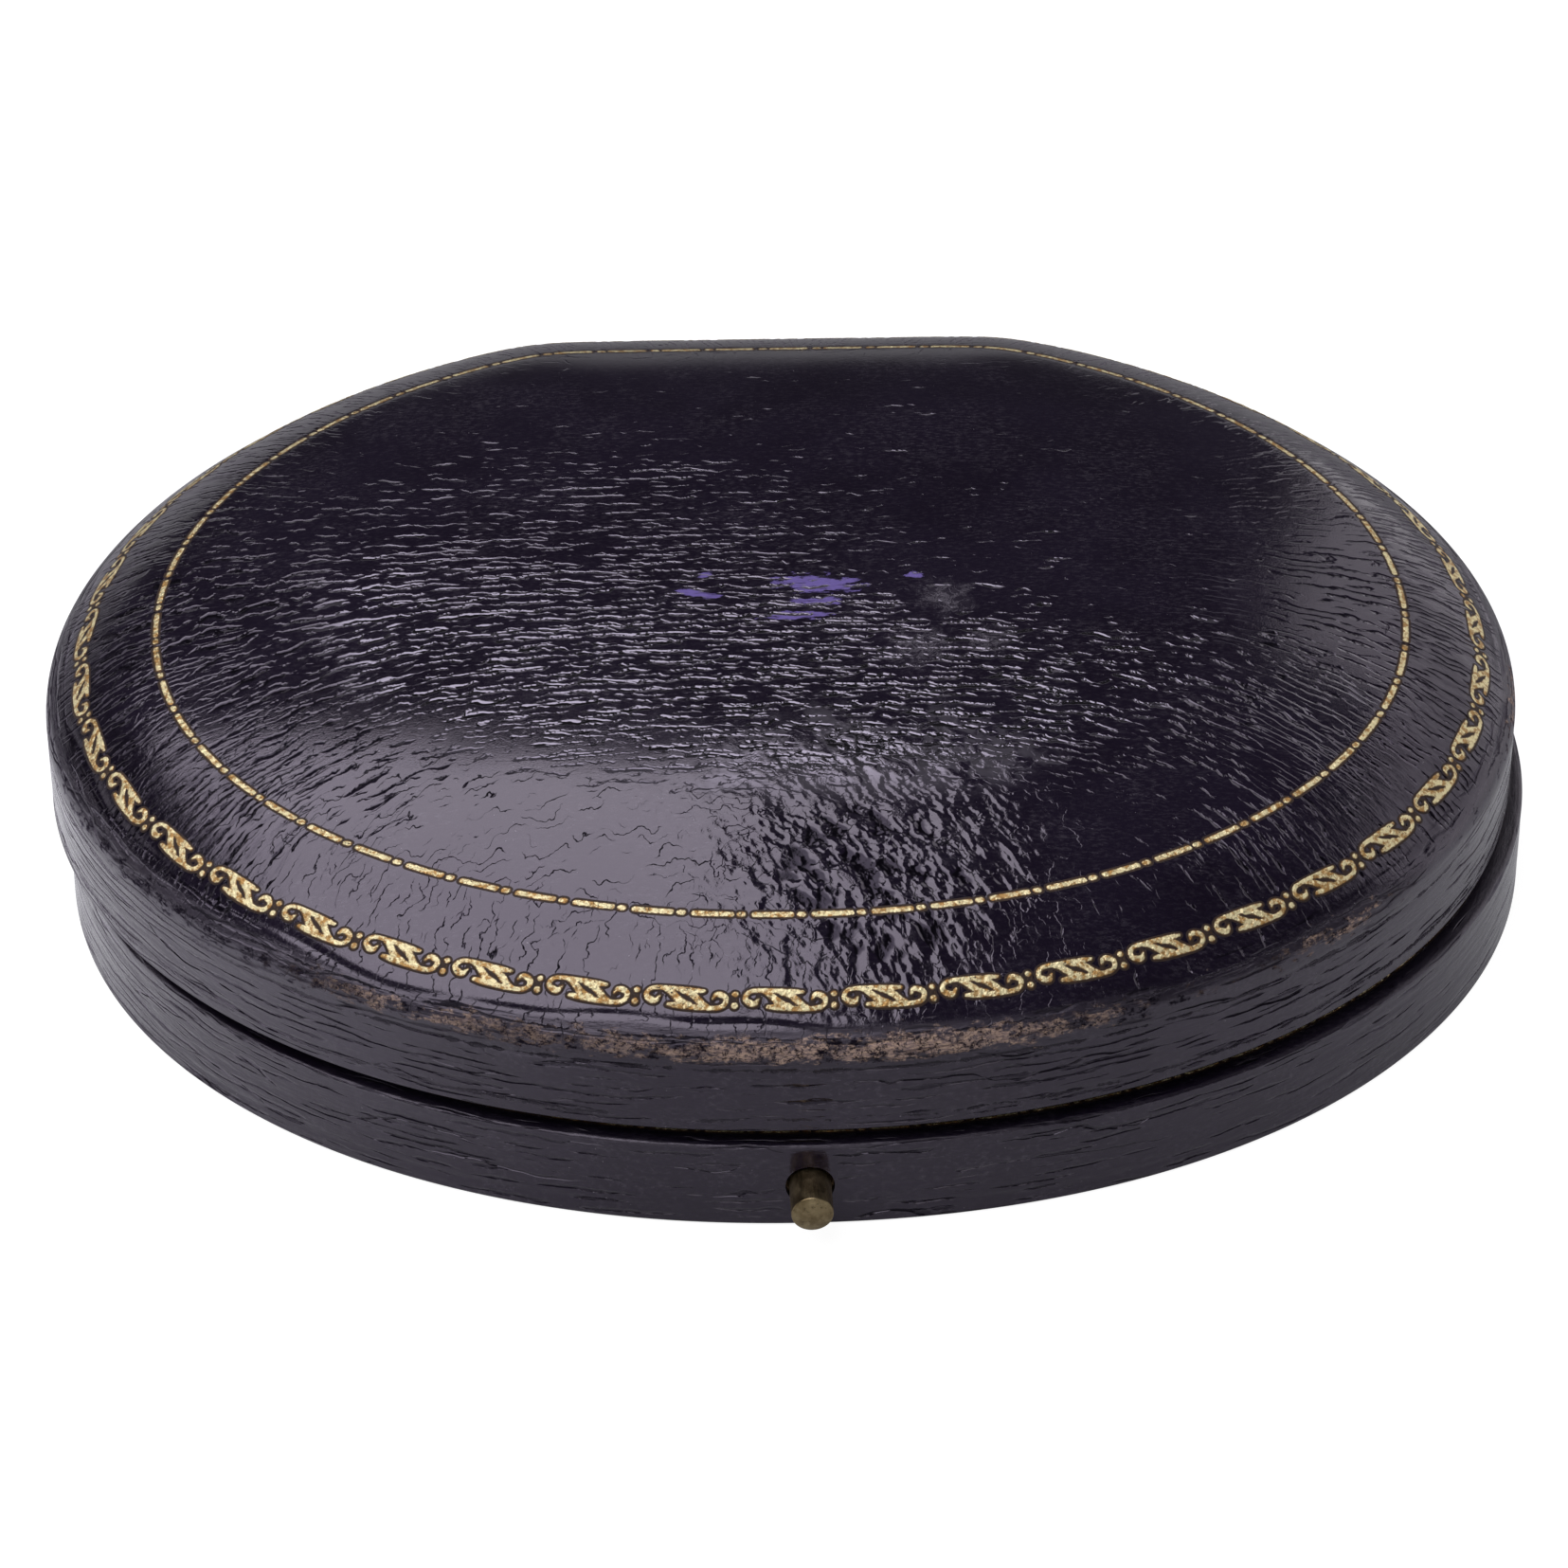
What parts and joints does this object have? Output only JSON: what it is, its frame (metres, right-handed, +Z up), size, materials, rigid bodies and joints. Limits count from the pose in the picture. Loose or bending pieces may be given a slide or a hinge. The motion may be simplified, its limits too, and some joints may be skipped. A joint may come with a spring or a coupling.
{
  "type": "bracelet presentation case",
  "caption": "Oval leather-covered bracelet case with a domed, hinged lid, a velvet well with a middle pad and a push-button catch.",
  "frame": {"origin": "on the flat underside that the case rests on, under the middle of the base", "axes": "+Z up; -Y is the front with the push button, +Y the flat hinged rear, X runs along the case's width"},
  "size_m": [0.096, 0.0796, 0.0213],
  "materials": {
    "morocco_leather": "glossy straight-grained morocco, near black with a violet cast",
    "collar_leather": "thin smooth leather over the upstand",
    "wood": "plain sawn poplar",
    "bottom_paper": "matt leather-grained paper",
    "velvet": "short-pile silk velvet",
    "satin": "cream silk satin",
    "brass": "dulled brass",
    "aged_brass": "aged olive-brown brass",
    "spring_steel": "thin spring steel"
  },
  "bodies": {
    "base": {"base_ring": "wood", "base_board": "wood", "base_leather": "morocco_leather", "base_paper": "bottom_paper", "base_collar": "collar_leather", "base_well": "velvet", "bracelet_pad": "velvet", "hinge_leaf_base": "brass", "hinge_pin": "brass", "hinge_nail_base_1": "brass", "hinge_nail_base_2": "brass", "hinge_nail_base_3": "brass", "latch_spring": "spring_steel", "spring_nail_1": "brass", "spring_nail_2": "brass"},
    "button": {"push_button": "aged_brass", "catch_plate": "aged_brass"},
    "lid": {"lid_ring": "wood", "lid_dome_board": "wood", "lid_leather": "morocco_leather", "lid_band": "satin", "lid_satin_pad": "satin", "hinge_leaf_lid": "brass", "hinge_nail_lid_1": "brass", "hinge_nail_lid_2": "brass", "hinge_nail_lid_3": "brass", "keeper_plate": "brass", "keeper_nail_1": "brass", "keeper_nail_2": "brass"}
  },
  "joints": [
    {"name": "lid_hinge", "type": "hinge", "parent": "base", "child": "lid", "pos_m": [0, 0.0378, 0.007], "axis": [-1, 0, 0], "range_deg": [0, 95]},
    {"name": "button_slide", "type": "slide", "parent": "base", "child": "button", "axis": [0, 1, 0], "range_m": [0, 0.001], "stiffness_N_per_m": 300, "springref_m": -0.0005, "deforming": ["latch_spring"]}
  ]
}
